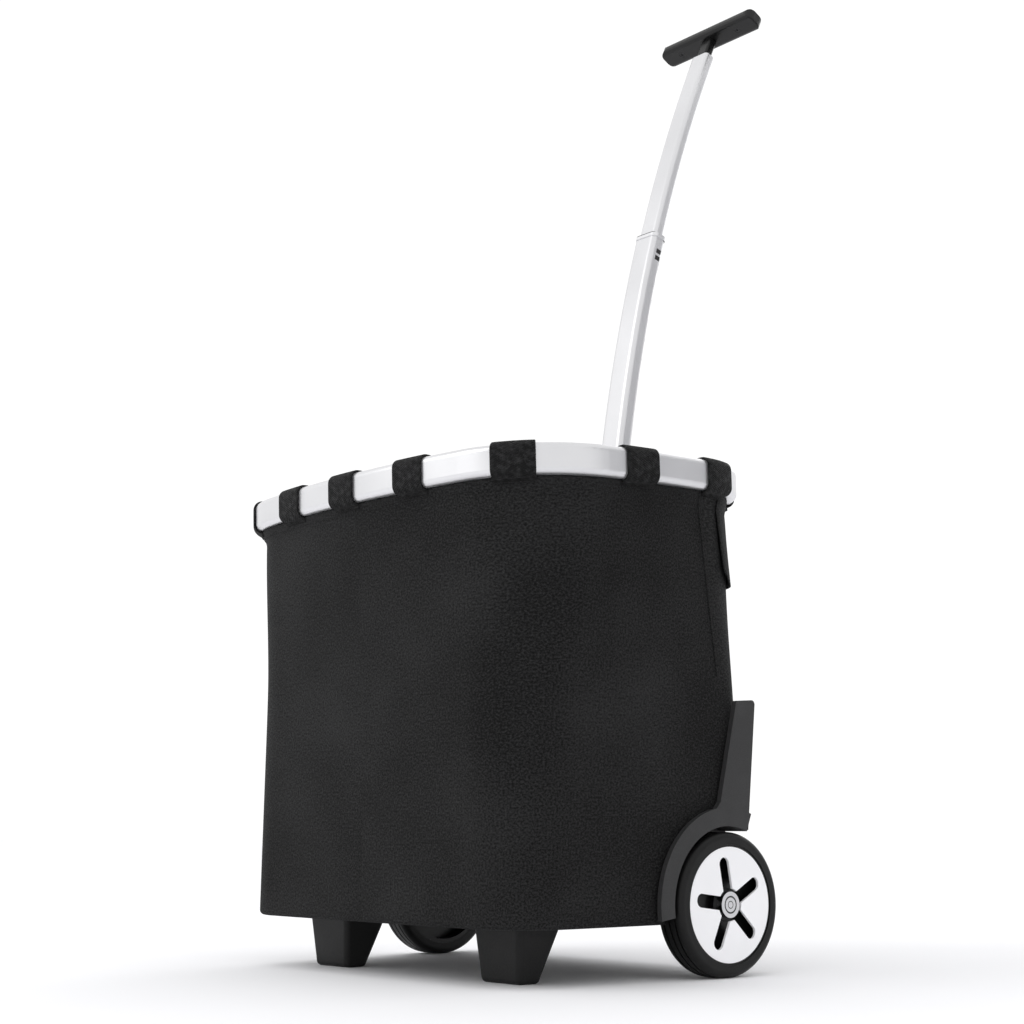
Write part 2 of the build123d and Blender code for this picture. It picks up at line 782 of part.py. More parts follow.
# ---- feet ----
for side, side_name in ((-1, "left"), (1, "right")):
    with BuildPart() as foot:
        with BuildSketch(Plane(origin=(side * foot_x, rim_y + foot_bottom_y, 0))):
            RectangleRounded(*foot_bottom_size, foot_edge)
        with BuildSketch(Plane(origin=(side * foot_x, rim_y + foot_y, bag_floor_height))):
            RectangleRounded(*foot_top_size, foot_edge)
        loft(ruled=True)
        fillet(foot.faces().sort_by(Axis.Z)[0].edges(), radius=foot_bottom_edge)
        with Locations((side * foot_x, rim_y + foot_bottom_y, 0)):
            Cylinder(radius=foot_screw_radius + seat, height=200, mode=Mode.SUBTRACT)
            Cylinder(radius=foot_bore, height=2 * foot_bore_depth, mode=Mode.SUBTRACT)
    save("foot_" + side_name, foot.part)

with BuildPart() as foot_screws:
    head_middle = foot_bore_depth - foot_head_height / 2
    shank_top = board_low + board_thickness + 0.5
    shank_middle = (shank_top + head_middle) / 2
    with Locations(*[(x, y, head_middle) for x, y in foot_places]):
        Cylinder(radius=foot_head_radius, height=foot_head_height)
    with Locations(*[(x, y, shank_middle) for x, y in foot_places]):
        Cylinder(radius=foot_screw_radius, height=shank_top - head_middle)
    with Locations(*[(x, y, foot_bore_depth - foot_head_height) for x, y in foot_places]):
        Box(7.0, 1.2, 3.0, mode=Mode.SUBTRACT)
        Box(1.2, 7.0, 3.0, mode=Mode.SUBTRACT)
save("foot_screws", foot_screws.part)

# ---- wheel housings, beam and axles ----
lug_low = beam_low - axle_z
lug_high = beam_high - axle_z
lug_back = beam_back - wheel_y
flange_outside = flange_inside + flange_thickness
boss_end = wheel_face - wheel_width - 0.6
boss_start = well_wall_inside - 8.0
boss_radius = 11.0
beam_screw_y = lug_back - 8.0
beam_screw_heights = (lug_low + 8.0, lug_high - 8.0)


def draw_sector(outer, inner):
    """A ring sector round the axle, from the arch's back end over the top to its front end."""
    angles = [math.radians(a) for a in (arch_back_angle, 100, 130, 160, arch_front_angle)]
    rays = [(2 * outer * math.cos(a), 2 * outer * math.sin(a)) for a in angles]
    Circle(outer)
    Circle(inner, mode=Mode.SUBTRACT)
    with BuildLine() as wedge:
        Polyline((0, 0), *rays, close=True)
    make_face(wedge.edges(), mode=Mode.INTERSECT)


for side, side_name in ((-1, "left"), (1, "right")):
    with BuildPart() as housing:
        with BuildSketch(side_plane(side, well_wall_inside, well_wall_inside + well_wall)):
            Circle(arch_skin)
            with Locations((0, lug_low - 50 + 0.4)):
                Rectangle(4 * arch_skin, 100, mode=Mode.SUBTRACT)
            with Locations((lug_back / 2, (lug_low + lug_high) / 2)):
                Rectangle(lug_back, lug_high - lug_low)
        extrude(amount=well_wall)
        with BuildSketch(side_plane(side, well_wall_inside, flange_outside)):
            draw_sector(arch_skin, arch_inner)
        extrude(amount=flange_outside - well_wall_inside)
        with BuildSketch(side_plane(side, flange_inside, flange_outside)) as flange:
            draw_sector(arch_outer, arch_inner)
            root = math.radians(arch_back_angle)
            top = arm_top - axle_z
            with BuildLine() as arm:
                Polyline(
                    (arch_inner * math.cos(root) + 1.5, arch_inner * math.sin(root) + 1.0),
                    (arm_back_top - wheel_y, top),
                    (arm_front_top - wheel_y, top - 1.5),
                    (arm_front_root - wheel_y, arm_root - axle_z),
                    (-14.0, arch_outer - 2.5),
                    (0, (arch_inner + arch_outer) / 2),
                    close=True,
                )
            make_face(arm.edges())
            tops = flange.vertices().group_by(Axis.Y)
            fillet(tops[-1], radius=3.5)
            fillet(tops[-2], radius=9.0)
        extrude(amount=flange_thickness)
        with BuildSketch(side_plane(side, boss_start, boss_end)):
            Circle(boss_radius)
        extrude(amount=boss_end - boss_start)
        with BuildSketch(side_plane(side, boss_start - 1, boss_end + 1)):
            Circle(axle_radius + seat)
            with Locations(*[(beam_screw_y, z) for z in beam_screw_heights]):
                Circle(2.2)
        extrude(amount=boss_end - boss_start + 2, mode=Mode.SUBTRACT)
    save("wheel_housing_" + side_name, housing.part)

with BuildPart() as rear_beam:
    beam_half = well_wall_inside - seat
    beam_middle_y = rim_y + (beam_front + beam_back) / 2
    beam_middle_z = (beam_low + beam_high) / 2
    beam_depth = beam_back - beam_front
    with Locations((0, beam_middle_y, beam_middle_z)):
        Box(2 * beam_half, beam_depth, beam_high - beam_low)
    fillet(rear_beam.edges().filter_by(Axis.X), radius=3.0)
    pocket_half = (beam_half - 14.0 - 26.0) / 2
    for side in (-1, 1):
        with Locations((side * (26.0 + pocket_half), beam_middle_y, beam_middle_z - beam_wall)):
            Box(
                2 * pocket_half,
                beam_depth - 2 * beam_wall,
                beam_high - beam_low,
                mode=Mode.SUBTRACT,
            )
        with Locations((side * beam_half, axle_y + beam_screw_y, axle_z)):
            with Locations((0, 0, beam_screw_heights[0]), (0, 0, beam_screw_heights[1])):
                Cylinder(radius=2.05, height=24, rotation=(0, 90, 0), mode=Mode.SUBTRACT)
    add(pole_block(outer_tube, seat, outer_low_angle, 0), mode=Mode.SUBTRACT)
save("rear_beam", rear_beam.part)

screw_heads = []
for side in (-1, 1):
    for height in beam_screw_heights:
        screw_heads.append((side, axle_y + beam_screw_y, axle_z + height))
with BuildPart() as beam_screws:
    face = well_wall_inside + well_wall
    with Locations(*[(s * (face + 1.1), y, z) for s, y, z in screw_heads]):
        Cylinder(radius=3.8, height=2.2, rotation=(0, 90, 0))
    with Locations(*[(s * (face - 7.0), y, z) for s, y, z in screw_heads]):
        Cylinder(radius=2.0, height=14.0, rotation=(0, 90, 0))
    with Locations(*[(s * (face + 2.0), y, z) for s, y, z in screw_heads]):
        Box(1.6, 0.9, 4.4, mode=Mode.SUBTRACT)
        Box(1.6, 4.4, 0.9, mode=Mode.SUBTRACT)
save("beam_screws", beam_screws.part)

# ---- wheels ----
tyre_inside = wheel_face - wheel_width
hub_start = boss_end + 0.6
hub_end = hub_start + 20.0
clip_start = hub_end + 0.4
clip_end = clip_start + 1.3
axle_end = clip_end + 1.5
disc_outside = wheel_face - 0.5
disc_inside = disc_outside - disc_thickness
web = (hub_start + 12.0, hub_start + 15.5)
cap_hole = 12.6
bush_outer = axle_radius + axle_clearance + bush_wall


def ring_profile(side, inner_x, outer_x, inner_r, outer_r, rounding=0.0):
    """A rectangle of a turned ring in the axle's plane, with its outer corners rounded."""
    centre = (side * (inner_x + outer_x) / 2, (inner_r + outer_r) / 2)
    with Locations(centre):
        Rectangle(outer_x - inner_x, outer_r - inner_r)
    if rounding:
        fillet(vertices().group_by(Axis.Y)[-1], radius=rounding)


def turned(side, rings):
    """A piece turned round the axle from one or more rings, given from the inside outwards."""
    with BuildPart() as piece:
        with BuildSketch(axle_plane):
            for ring in rings:
                ring_profile(side, *ring)
        revolve(axis=axle_axis)
    return piece.part


for side, side_name in ((-1, "left"), (1, "right")):
    with BuildPart() as tyre:
        with BuildSketch(axle_plane):
            ring_profile(side, tyre_inside, wheel_face, tyre_bore, wheel_radius, 5.0)
            for step in (-6.0, 0.0, 6.0):
                x = wheel_face - wheel_width / 2 + step
                with Locations((side * x, wheel_radius)):
                    Rectangle(1.4, 2 * tyre_groove, mode=Mode.SUBTRACT)
        revolve(axis=axle_axis)
    save("tyre_" + side_name, tyre.part)

    ring_out = tyre_bore - seat
    rings = [
        (hub_start, hub_end, bush_outer + seat, hub_radius),
        (web[0], web[1], hub_radius - 1, disc_radius - 1),
        (tyre_inside + 0.4, disc_inside, disc_radius - 2.0, ring_out),
        (disc_inside - 1, disc_outside - 0.2, disc_radius + seat, ring_out),
    ]
    save("wheel_body_" + side_name, turned(side, rings))

    bushes = [
        (hub_start, hub_start + 8, axle_radius + axle_clearance, bush_outer),
        (hub_end - 8, hub_end, axle_radius + axle_clearance, bush_outer),
    ]
    save("wheel_bushes_" + side_name, turned(side, bushes))

    with BuildPart() as disc:
        with BuildSketch(side_plane(side, disc_inside, disc_outside)):
            Circle(disc_radius)
            Circle(cap_hole, mode=Mode.SUBTRACT)
            with PolarLocations(0, disc_slots, start_angle=disc_slot_turn):
                with Locations((disc_slot_tip / 2, 0)):
                    SlotOverall(disc_slot_tip, disc_slot_width, mode=Mode.SUBTRACT)
        extrude(amount=disc_thickness)
    save("wheel_disc_" + side_name, disc.part)

    cap = [
        (hub_end, disc_outside + 0.6, cap_radius - 1.2, cap_radius),
        (disc_outside - 1.0, disc_outside + 0.6, 0, cap_radius - 1),
    ]
    save("hub_cap_" + side_name, turned(side, cap))

    shaft = [
        (boss_start - 5, boss_start - 0.1, 0, axle_radius + 3.5),
        (boss_start - 1, clip_start - 0.05, 0, axle_radius),
        (clip_start - 1, clip_end + 1, 0, axle_radius - 0.8),
        (clip_end + 0.05, axle_end, 0, axle_radius),
    ]
    save("axle_" + side_name, turned(side, shaft))

with BuildPart() as axle_clips:
    for side in (-1, 1):
        add(turned(side, [(clip_start, clip_end, axle_radius - 0.7, axle_radius + 2.8)]))
    with Locations((0, axle_y, axle_z - axle_radius)):
        Box(2 * rim_width, 3.0, 2 * axle_radius, mode=Mode.SUBTRACT)
save("axle_clips", axle_clips.part)
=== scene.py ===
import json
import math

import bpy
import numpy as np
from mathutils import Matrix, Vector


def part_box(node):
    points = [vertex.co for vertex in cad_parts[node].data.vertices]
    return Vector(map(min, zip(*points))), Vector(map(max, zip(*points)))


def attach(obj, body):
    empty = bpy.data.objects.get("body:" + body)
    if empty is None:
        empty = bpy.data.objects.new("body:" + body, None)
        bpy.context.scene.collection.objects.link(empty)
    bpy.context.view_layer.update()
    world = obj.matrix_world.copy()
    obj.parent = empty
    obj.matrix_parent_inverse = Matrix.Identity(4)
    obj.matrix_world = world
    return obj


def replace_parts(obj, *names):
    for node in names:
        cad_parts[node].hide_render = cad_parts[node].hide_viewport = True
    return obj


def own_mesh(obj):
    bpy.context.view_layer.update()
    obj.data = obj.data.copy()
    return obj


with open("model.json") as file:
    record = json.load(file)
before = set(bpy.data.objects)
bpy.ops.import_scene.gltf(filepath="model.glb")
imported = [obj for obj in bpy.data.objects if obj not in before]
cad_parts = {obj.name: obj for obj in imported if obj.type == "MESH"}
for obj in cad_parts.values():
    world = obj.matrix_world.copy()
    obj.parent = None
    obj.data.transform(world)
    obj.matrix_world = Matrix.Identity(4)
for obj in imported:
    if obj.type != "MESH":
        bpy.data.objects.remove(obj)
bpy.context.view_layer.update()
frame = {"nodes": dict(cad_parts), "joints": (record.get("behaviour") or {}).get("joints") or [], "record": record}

# %% [markdown]
# # A wheeled shopping basket
# A cloth bag hangs by webbing loops in an oval aluminium rim. The metal and the mouldings come ready
# made from the CAD frame and only get finishes here. Everything soft is made here: the bag, its hem,
# its back flap and the loops, and the spring in the grip. All lengths are metres, in the frame's axes.

MM = 0.001
nodes = frame["nodes"]
tyre_low, tyre_high = (np.array(corner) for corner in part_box("tyre_right"))
axle = (tyre_low + tyre_high) / 2
axle_behind = 87.6 * MM                # from the middle of the rim back to the axle
rim_y = axle[1] - axle_behind

# %% [markdown]
# ## Camera
# The basket is seen from its front right corner, from just above the floor, through a medium long
# lens. The camera looks up a little and its lens is shifted up as well, so that the whole pole fits.

# %% Camera
eye_right, eye_before, eye_height = 1.13225, 0.93942, 0.11473
eye_tilt, eye_heading = math.radians(98.1836), math.radians(49.4783)
lens = bpy.data.cameras.new("camera")
lens.lens = 62.08
lens.sensor_width = 36.0
lens.shift_y = 0.0599
camera = bpy.data.objects.new("camera", lens)
camera.location = (eye_right, rim_y - eye_before, eye_height)
camera.rotation_euler = (eye_tilt, 0, eye_heading)
bpy.context.collection.objects.link(camera)
bpy.context.scene.camera = camera
print("camera", lens.lens, "mm at", tuple(round(c, 3) for c in camera.location))

# %% [markdown]
# ## Writing a shader as sums
# Most surface patterns are sums of waves and noise. This small class wraps a socket, so that
# `1 - weave * 0.5` adds the Math nodes by itself. `Finish.add` makes every other kind of node.


# %% Shader helpers
class Value:
    """A node's output that can be added, multiplied and compared. Each operator adds a Math node."""

    def __init__(self, finish, socket):
        self.finish = finish
        self.socket = socket

    def maths(self, operation, *values):
        return self.finish.add("ShaderNodeMath", {"operation": operation}, dict(enumerate(values)))

    def __add__(self, other):
        return self.maths("ADD", self, other)

    def __sub__(self, other):
        return self.maths("SUBTRACT", self, other)

    def __rsub__(self, other):
        return self.maths("SUBTRACT", other, self)

    def __mul__(self, other):
        return self.maths("MULTIPLY", self, other)

    def __gt__(self, other):
        return self.maths("GREATER_THAN", self, other)

    def power(self, other):
        return self.maths("POWER", self, other)

    def sine(self):
        return self.maths("SINE", self)

    __radd__ = __add__
    __rmul__ = __mul__


class Finish:
    """One material with a Principled shader, and the method that adds its other nodes."""

    def __init__(self, name, **constants):
        self.material = bpy.data.materials.new(name)
        self.material.use_nodes = True
        self.tree = self.material.node_tree
        self.shader = self.tree.nodes["Principled BSDF"]
        for socket, value in constants.items():
            self.shader.inputs[socket.replace("_", " ")].default_value = value

    def feed(self, socket, value):
        """Gives a socket a link from a Value, or a plain number, colour or vector."""
        if isinstance(value, Value):
            self.tree.links.new(value.socket, socket)
        else:
            socket.default_value = value

    def add(self, kind, settings=None, sockets=None, output=0):
        """Adds a node, with its settings first and then the values or links of its sockets."""
        node = self.tree.nodes.new(kind)
        for key, value in (settings or {}).items():
            setattr(node, key, value)
        for key, value in (sockets or {}).items():
            self.feed(node.inputs[key], value)
        return Value(self, node.outputs[output])

    def place(self, kind="Object"):
        """Where a point is: on the object, or on the piece's own UV map, which is in metres."""
        return self.add("ShaderNodeTexCoord", output=kind)

    def parts(self, vector):
        """The X, Y and Z of a vector, as three values."""
        node = self.tree.nodes.new("ShaderNodeSeparateXYZ")
        self.feed(node.inputs[0], vector)
        return [Value(self, socket) for socket in node.outputs]

    def noise(self, vector, scale, detail=2.0, roughness=0.5):
        sockets = {"Vector": vector, "Scale": scale, "Detail": detail, "Roughness": roughness}
        return self.add("ShaderNodeTexNoise", sockets=sockets)

    def spread(self, value, low, high, new_low=0.0, new_high=1.0):
        """A value's range low to high, moved to a new range and held inside it."""
        sockets = {1: low, 2: high, 3: new_low, 4: new_high}
        return self.add("ShaderNodeMapRange", sockets={0: value, **sockets})

    def colours(self, factor, first, second):
        """A colour between two, by a factor from 0 to 1."""
        sockets = {0: factor, 6: first, 7: second}
        return self.add("ShaderNodeMix", {"data_type": "RGBA"}, sockets, output=2)

    def relief(self, height, depth):
        """Raises the surface by a height that is multiplied by a depth in metres."""
        sockets = {"Height": height, "Distance": depth, "Strength": 1.0}
        self.paint("Normal", self.add("ShaderNodeBump", sockets=sockets))

    def paint(self, socket, value):
        self.feed(self.shader.inputs[socket], value)


def grey(level):
    """A neutral colour of a linear level."""
    return (level, level, level * 1.02, 1.0)


print("shader helpers ready")

# %% [markdown]
# ## Floor and light
# A pale floor and a white surround give the soft, even light of a product picture. A large lamp on the
# left makes the front of the bag a little lighter than its side, and a weaker one lights the back. A
# grey card on the right, which the camera doesn't see, gives the metal its grey edge.

# %% Floor and light
floor_size, surround_light = 30.0, 1.06
pale = Finish("pale_floor", Roughness=0.9, Specular_IOR_Level=0.1)
pale.paint("Base Color", pale.colours(pale.noise(pale.place(), 3.0), grey(0.93), grey(0.97)))
bpy.ops.mesh.primitive_plane_add(size=floor_size, location=(0, 0, 0))
floor = bpy.context.active_object
floor.name = "floor"
floor.data.materials.append(pale.material)

world = bpy.data.worlds.new("surround")
world.use_nodes = True
world.node_tree.nodes["Background"].inputs["Color"].default_value = (1, 1, 1, 1)
world.node_tree.nodes["Background"].inputs["Strength"].default_value = surround_light
bpy.context.scene.world = world
bpy.context.scene.view_settings.view_transform = "Standard"


def facing(place, aim):
    """The turn, as Euler angles, that points an object's -Z axis from a place to a point."""
    way = np.array(aim) - np.array(place)
    return (math.atan2(math.hypot(way[0], way[1]), -way[2]), 0, math.atan2(-way[0], way[1]))


def lamp(name, place, aim, size, power):
    """A square area lamp at a place, turned towards a point."""
    light = bpy.data.lights.new(name, "AREA")
    light.size = size
    light.energy = power
    holder = bpy.data.objects.new(name, light)
    holder.location = place
    holder.rotation_euler = facing(place, aim)
    bpy.context.collection.objects.link(holder)


middle = (0, 0, 0.35)
lamp("key", (-0.9, -2.2, 1.7), middle, 1.6, 16)
lamp("back", (-0.8, 2.2, 1.8), middle, 1.4, 6)

card_size, card_place = 1.2, (1.25, 1.05, 0.85)
dark = Finish("grey_card", Roughness=1.0, Specular_IOR_Level=0.0)
dark.paint("Base Color", dark.colours(dark.noise(dark.place(), 2.0), grey(0.42), grey(0.45)))
card_turn = facing(card_place, middle)
bpy.ops.mesh.primitive_plane_add(size=card_size, location=card_place, rotation=card_turn)
card = bpy.context.active_object
card.name = "grey_card"
card.data.materials.append(dark.material)
card.visible_camera = False
print("lights and card ready")

# %% [markdown]
# ## Metal finishes
# The rim and the pole are drawn aluminium, anodised to a satin white silver. Its grain is too fine to
# see as lines, so a soft noise in the roughness and a very shallow relief carry it. The wheel discs
# are sprayed silver, the hub caps are plated, and the fasteners are bright or blackened steel.


# %% Metals
def satin_metal(name, level, metallic, roughness, grain, depth):
    """Metal with a fine grain, slightly uneven in gloss and in brightness."""
    finish = Finish(name, Metallic=metallic)
    place = finish.place()
    fine = finish.noise(place, grain, 3.0)
    broad = finish.noise(place, 14.0, 2.0)
    finish.paint("Roughness", finish.spread(fine + broad, 0.7, 1.3, roughness - 0.04, roughness + 0.05))
    tone = finish.spread(broad, 0.35, 0.65)
    finish.paint("Base Color", finish.colours(tone, grey(level * 0.95), grey(level)))
    finish.relief(fine, depth)
    return finish.material


anodised = satin_metal("anodised_aluminium", 0.70, 0.80, 0.33, 1600.0, 0.02 * MM)
disc_silver = satin_metal("disc_silver", 0.95, 0.10, 0.42, 1300.0, 0.03 * MM)
chrome = satin_metal("cap_chrome", 0.62, 1.0, 0.12, 700.0, 0.005 * MM)
steel = satin_metal("steel", 0.50, 1.0, 0.36, 1800.0, 0.02 * MM)
black_steel = satin_metal("black_steel", 0.035, 0.9, 0.30, 1500.0, 0.01 * MM)
print("metals:", anodised.name, disc_silver.name, chrome.name, steel.name, black_steel.name)

# %% [markdown]
# ## Plastic and rubber finishes
# Moulded plastic shows the spark grain of its mould: small even pits. Where hands and floors rub it,
# it turns a little glossier and lighter, which a broad noise stands for. The tyres show most of it.


# %% Plastics and rubber
def moulded(name, level, roughness, grain, depth, wear=0.35, coat=0.0):
    """Plastic with a mould's grain and faint rubbed patches."""
    finish = Finish(name, Coat_Weight=coat, Coat_Roughness=0.15, Specular_IOR_Level=0.22)
    place = finish.place()
    pits = finish.noise(place, grain, 2.0, 0.6)
    rubbed = finish.spread(finish.noise(place, 22.0, 4.0), 0.5, 0.72)
    tone = finish.spread(pits, 0.3, 0.7) * 0.5 + rubbed * wear
    finish.paint("Base Color", finish.colours(tone, grey(level * 0.82), grey(level * 1.35)))
    gloss = finish.spread(pits, 0.3, 0.7, roughness + 0.05, roughness - 0.05) - rubbed * 0.05
    finish.paint("Roughness", gloss)
    finish.relief(pits, depth)
    return finish.material


housing_plastic = moulded("housing_plastic", 0.036, 0.52, 1100.0, 0.06 * MM)
foot_plastic = moulded("foot_plastic", 0.010, 0.50, 900.0, 0.06 * MM)
black_plastic = moulded("black_plastic", 0.005, 0.34, 1200.0, 0.02 * MM, coat=0.1)
grip_plastic = moulded("grip_plastic", 0.0055, 0.34, 1500.0, 0.03 * MM, coat=0.12)
tyre_rubber = moulded("tyre_rubber", 0.006, 0.46, 800.0, 0.08 * MM, wear=0.5)
base_board_sheet = moulded("board", 0.020, 0.60, 500.0, 0.10 * MM)
print("plastics:", housing_plastic.name, grip_plastic.name, tyre_rubber.name)

# %% [markdown]
# ## Cloth finishes
# The bag is a coated plain weave: yarns cross over and under at half a millimetre. Two sine waves
# make the weave, one along each direction of the piece's own map, whose unit is the metre. A noise
# makes some places higher and lighter, which gives the fine grain that the cloth shows from a
# distance. Webbing has a coarser weave, and the thread a finer one.


# %% Cloth
def woven(name, level, pitch_along, pitch_across, depth, sheen, fleck):
    """A plain weave on the UV map. A yarn's height is one sine times the other."""
    finish = Finish(name, Sheen_Weight=sheen, Sheen_Roughness=0.4, Specular_IOR_Level=0.10)
    chart = finish.place("UV")
    across, along, _ = finish.parts(chart)
    weave = (across * (math.pi / pitch_across)).sine() * (along * (math.pi / pitch_along)).sine()
    grain = finish.noise(chart, 0.35 / pitch_across, 4.0, 0.7)
    broad = finish.noise(chart, 9.0, 3.0)
    height = weave * 0.5 + grain
    finish.relief(height, depth)
    light = finish.spread(grain + broad * 0.3, 0.56, 0.78)
    finish.paint("Base Color", finish.colours(light, grey(level), grey(level * fleck)))
    finish.paint("Roughness", finish.spread(grain, 0.3, 0.7, 0.82, 0.66))
    return finish.material


bag_cloth = woven("bag_cloth", 0.0045, 0.55 * MM, 0.55 * MM, 0.35 * MM, 0.012, 6.0)
webbing = woven("webbing", 0.0070, 0.9 * MM, 1.6 * MM, 0.55 * MM, 0.03, 3.6)
thread = woven("thread", 0.014, 0.3 * MM, 0.3 * MM, 0.05 * MM, 0.02, 1.8)
print("cloths:", bag_cloth.name, webbing.name, thread.name)

# %% [markdown]
# ## Finishes for the CAD pieces
# Every CAD piece that stays in view takes the finish of its slot in the record.

# %% Finishes onto CAD pieces
finishes = {
    "anodised_aluminium": anodised,
    "disc_silver": disc_silver,
    "cap_chrome": chrome,
    "steel": steel,
    "black_steel": black_steel,
    "housing_plastic": housing_plastic,
    "foot_plastic": foot_plastic,
    "black_plastic": black_plastic,
    "grip_plastic": grip_plastic,
    "tyre_rubber": tyre_rubber,
    "board": base_board_sheet,
    "bag_cloth": bag_cloth,
    "webbing": webbing,
}
for row in frame["record"]["subparts"]:
    piece = nodes[row["node"]]
    piece.data.materials.clear()
    piece.data.materials.append(finishes[row["material_slot"]])
slot_of = {finish: slot for slot, finish in finishes.items()}
slot_of[thread] = "webbing"
print("finished", len(nodes), "CAD pieces")

# %% [markdown]
# ## Two-tone pieces
# The collar at the top of each tube is one moulding: its ring is painted silver up to a thin dark lip,
# and the parts inside the tube stay black. A hub cap is plated, with two dark grooves round its middle.
# Both are masks on the piece's own coordinates, so the pattern stays on it as it slides or spins.


# %% Collars and hub caps
def collar_finish(name, node, ring, lip):
    """Black plastic whose ring is silver: the stretch from `ring` to `lip` below the node's top."""
    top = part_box(node)[1][2]
    finish = Finish(name, Specular_IOR_Level=0.4)
    _, _, height = finish.parts(finish.place())
    silver = (height > top - ring) * (1 - (height > top - lip))
    pits = finish.noise(finish.place(), 1200.0)
    black = finish.colours(pits, grey(0.008), grey(0.014))
    finish.paint("Base Color", finish.colours(silver, black, grey(0.72)))
    finish.paint("Metallic", silver * 0.8)
    finish.paint("Roughness", pits * 0.1 + 0.3)
    finish.relief(pits, 0.02 * MM)
    return finish.material


def cap_finish(name, outer, inner):
    """Plated plastic with two dark grooves, each between two distances from the axle."""
    finish = Finish(name, Metallic=1.0)
    _, y, z = finish.parts(finish.place())
    away = ((y - axle[1]).power(2.0) + (z - axle[2]).power(2.0)).power(0.5)
    outer_groove, inner_groove = ((away > low) * (1 - (away > high)) for low, high in (outer, inner))
    groove = outer_groove + inner_groove
    fine = finish.noise(finish.place(), 900.0)
    finish.paint("Base Color", finish.colours(groove, grey(0.60), grey(0.05)))
    finish.paint("Roughness", fine * 0.08 + 0.12)
    finish.relief(groove * -1, 0.5 * MM)
    return finish.material


ring_finishes = {"pole_outer_collar": 8.0 * MM, "pole_middle_collar": 7.5 * MM}
ring_lip = 0.7 * MM
for node, ring in ring_finishes.items():
    nodes[node].data.materials[0] = collar_finish(node + "_finish", node, ring, ring_lip)
ringed_chrome = cap_finish("ringed_chrome", (5.6 * MM, 6.8 * MM), (2.4 * MM, 3.0 * MM))
for node in ("hub_cap_left", "hub_cap_right"):
    nodes[node].data.materials[0] = ringed_chrome
print("two-tone pieces:", *ring_finishes, "hub caps")

# %% [markdown]
# ## From a grid of points to a piece
# A surface is worked out as an array of points with rows and columns. This helper joins the points
# into four-sided faces, gives them a UV map in metres, and hangs the piece on its body.


# %% Grid to mesh
def grid_faces(rows, columns, closed):
    """Corner numbers of the faces of a grid. A closed grid joins its last column to its first."""
    row, column = np.mgrid[0 : rows - 1, 0 : columns if closed else columns - 1]
    after = (column + 1) % columns
    corners = [row * columns + column, row * columns + after]
    corners += [(row + 1) * columns + after, (row + 1) * columns + column]
    return np.stack(corners, axis=-1).reshape(-1, 4)


def grid_chart(points, closed):
    """UV in metres: U is the mean length along a row up to a column, V the length down a column."""
    around = np.linalg.norm(np.diff(points, axis=1, append=points[:, :1]), axis=2).mean(axis=0)
    down = np.linalg.norm(np.diff(points, axis=0), axis=2).mean(axis=1)
    u = np.concatenate([[0], np.cumsum(around)])
    v = np.concatenate([[0], np.cumsum(down)])
    rows, columns = points.shape[:2]
    row, column = np.mgrid[0 : rows - 1, 0 : columns if closed else columns - 1]
    corners = [(u[column], v[row]), (u[column + 1], v[row])]
    corners += [(u[column + 1], v[row + 1]), (u[column], v[row + 1])]
    return np.stack([np.stack(corner, axis=-1) for corner in corners], axis=2).reshape(-1, 2)


def make_piece(name, points, faces, chart, finish, body="basket"):
    """A smooth mesh object from points, four-sided faces and a UV for each face corner."""
    mesh = bpy.data.meshes.new(name)
    mesh.from_pydata(points.reshape(-1, 3).tolist(), [], faces.tolist())
    layer = mesh.uv_layers.new(name="metres")
    layer.data.foreach_set("uv", np.ascontiguousarray(chart, dtype=np.float32).ravel())
    mesh.polygons.foreach_set("use_smooth", np.ones(len(mesh.polygons), dtype=bool))
    mesh.materials.append(finish)
    piece = bpy.data.objects.new(name, mesh)
    bpy.context.collection.objects.link(piece)
    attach(piece, body)
    return piece


def grid_piece(name, points, finish, closed=True, body="basket"):
    """A piece made of one grid."""
    rows, columns = points.shape[:2]
    faces = grid_faces(rows, columns, closed)
    return make_piece(name, points, faces, grid_chart(points, closed), finish, body)


print("grid helpers ready")

# %% [markdown]
# ## The oval
# The rim, the hem and the bag are all the same kind of oval: four gentle arcs with rounded corners.
# A corner's centre is where two circles cross, each one smaller than its gentle arc by the corner's
# radius. Every size may be a column of values, one for each height, so a whole bag is one call.


# %% The oval
def crossing(first, first_radius, second, second_radius, side):
    """Where two circles cross, on one side of the line between their centres."""
    away = second - first
    distance = np.linalg.norm(away, axis=-1, keepdims=True)
    along = (first_radius**2 - second_radius**2 + distance**2) / (2 * distance)
    aside = np.sqrt(first_radius**2 - along**2)
    way = away / distance
    normal = np.stack([-way[..., 1], way[..., 0]], axis=-1)
    return first + way * along + side * normal * aside


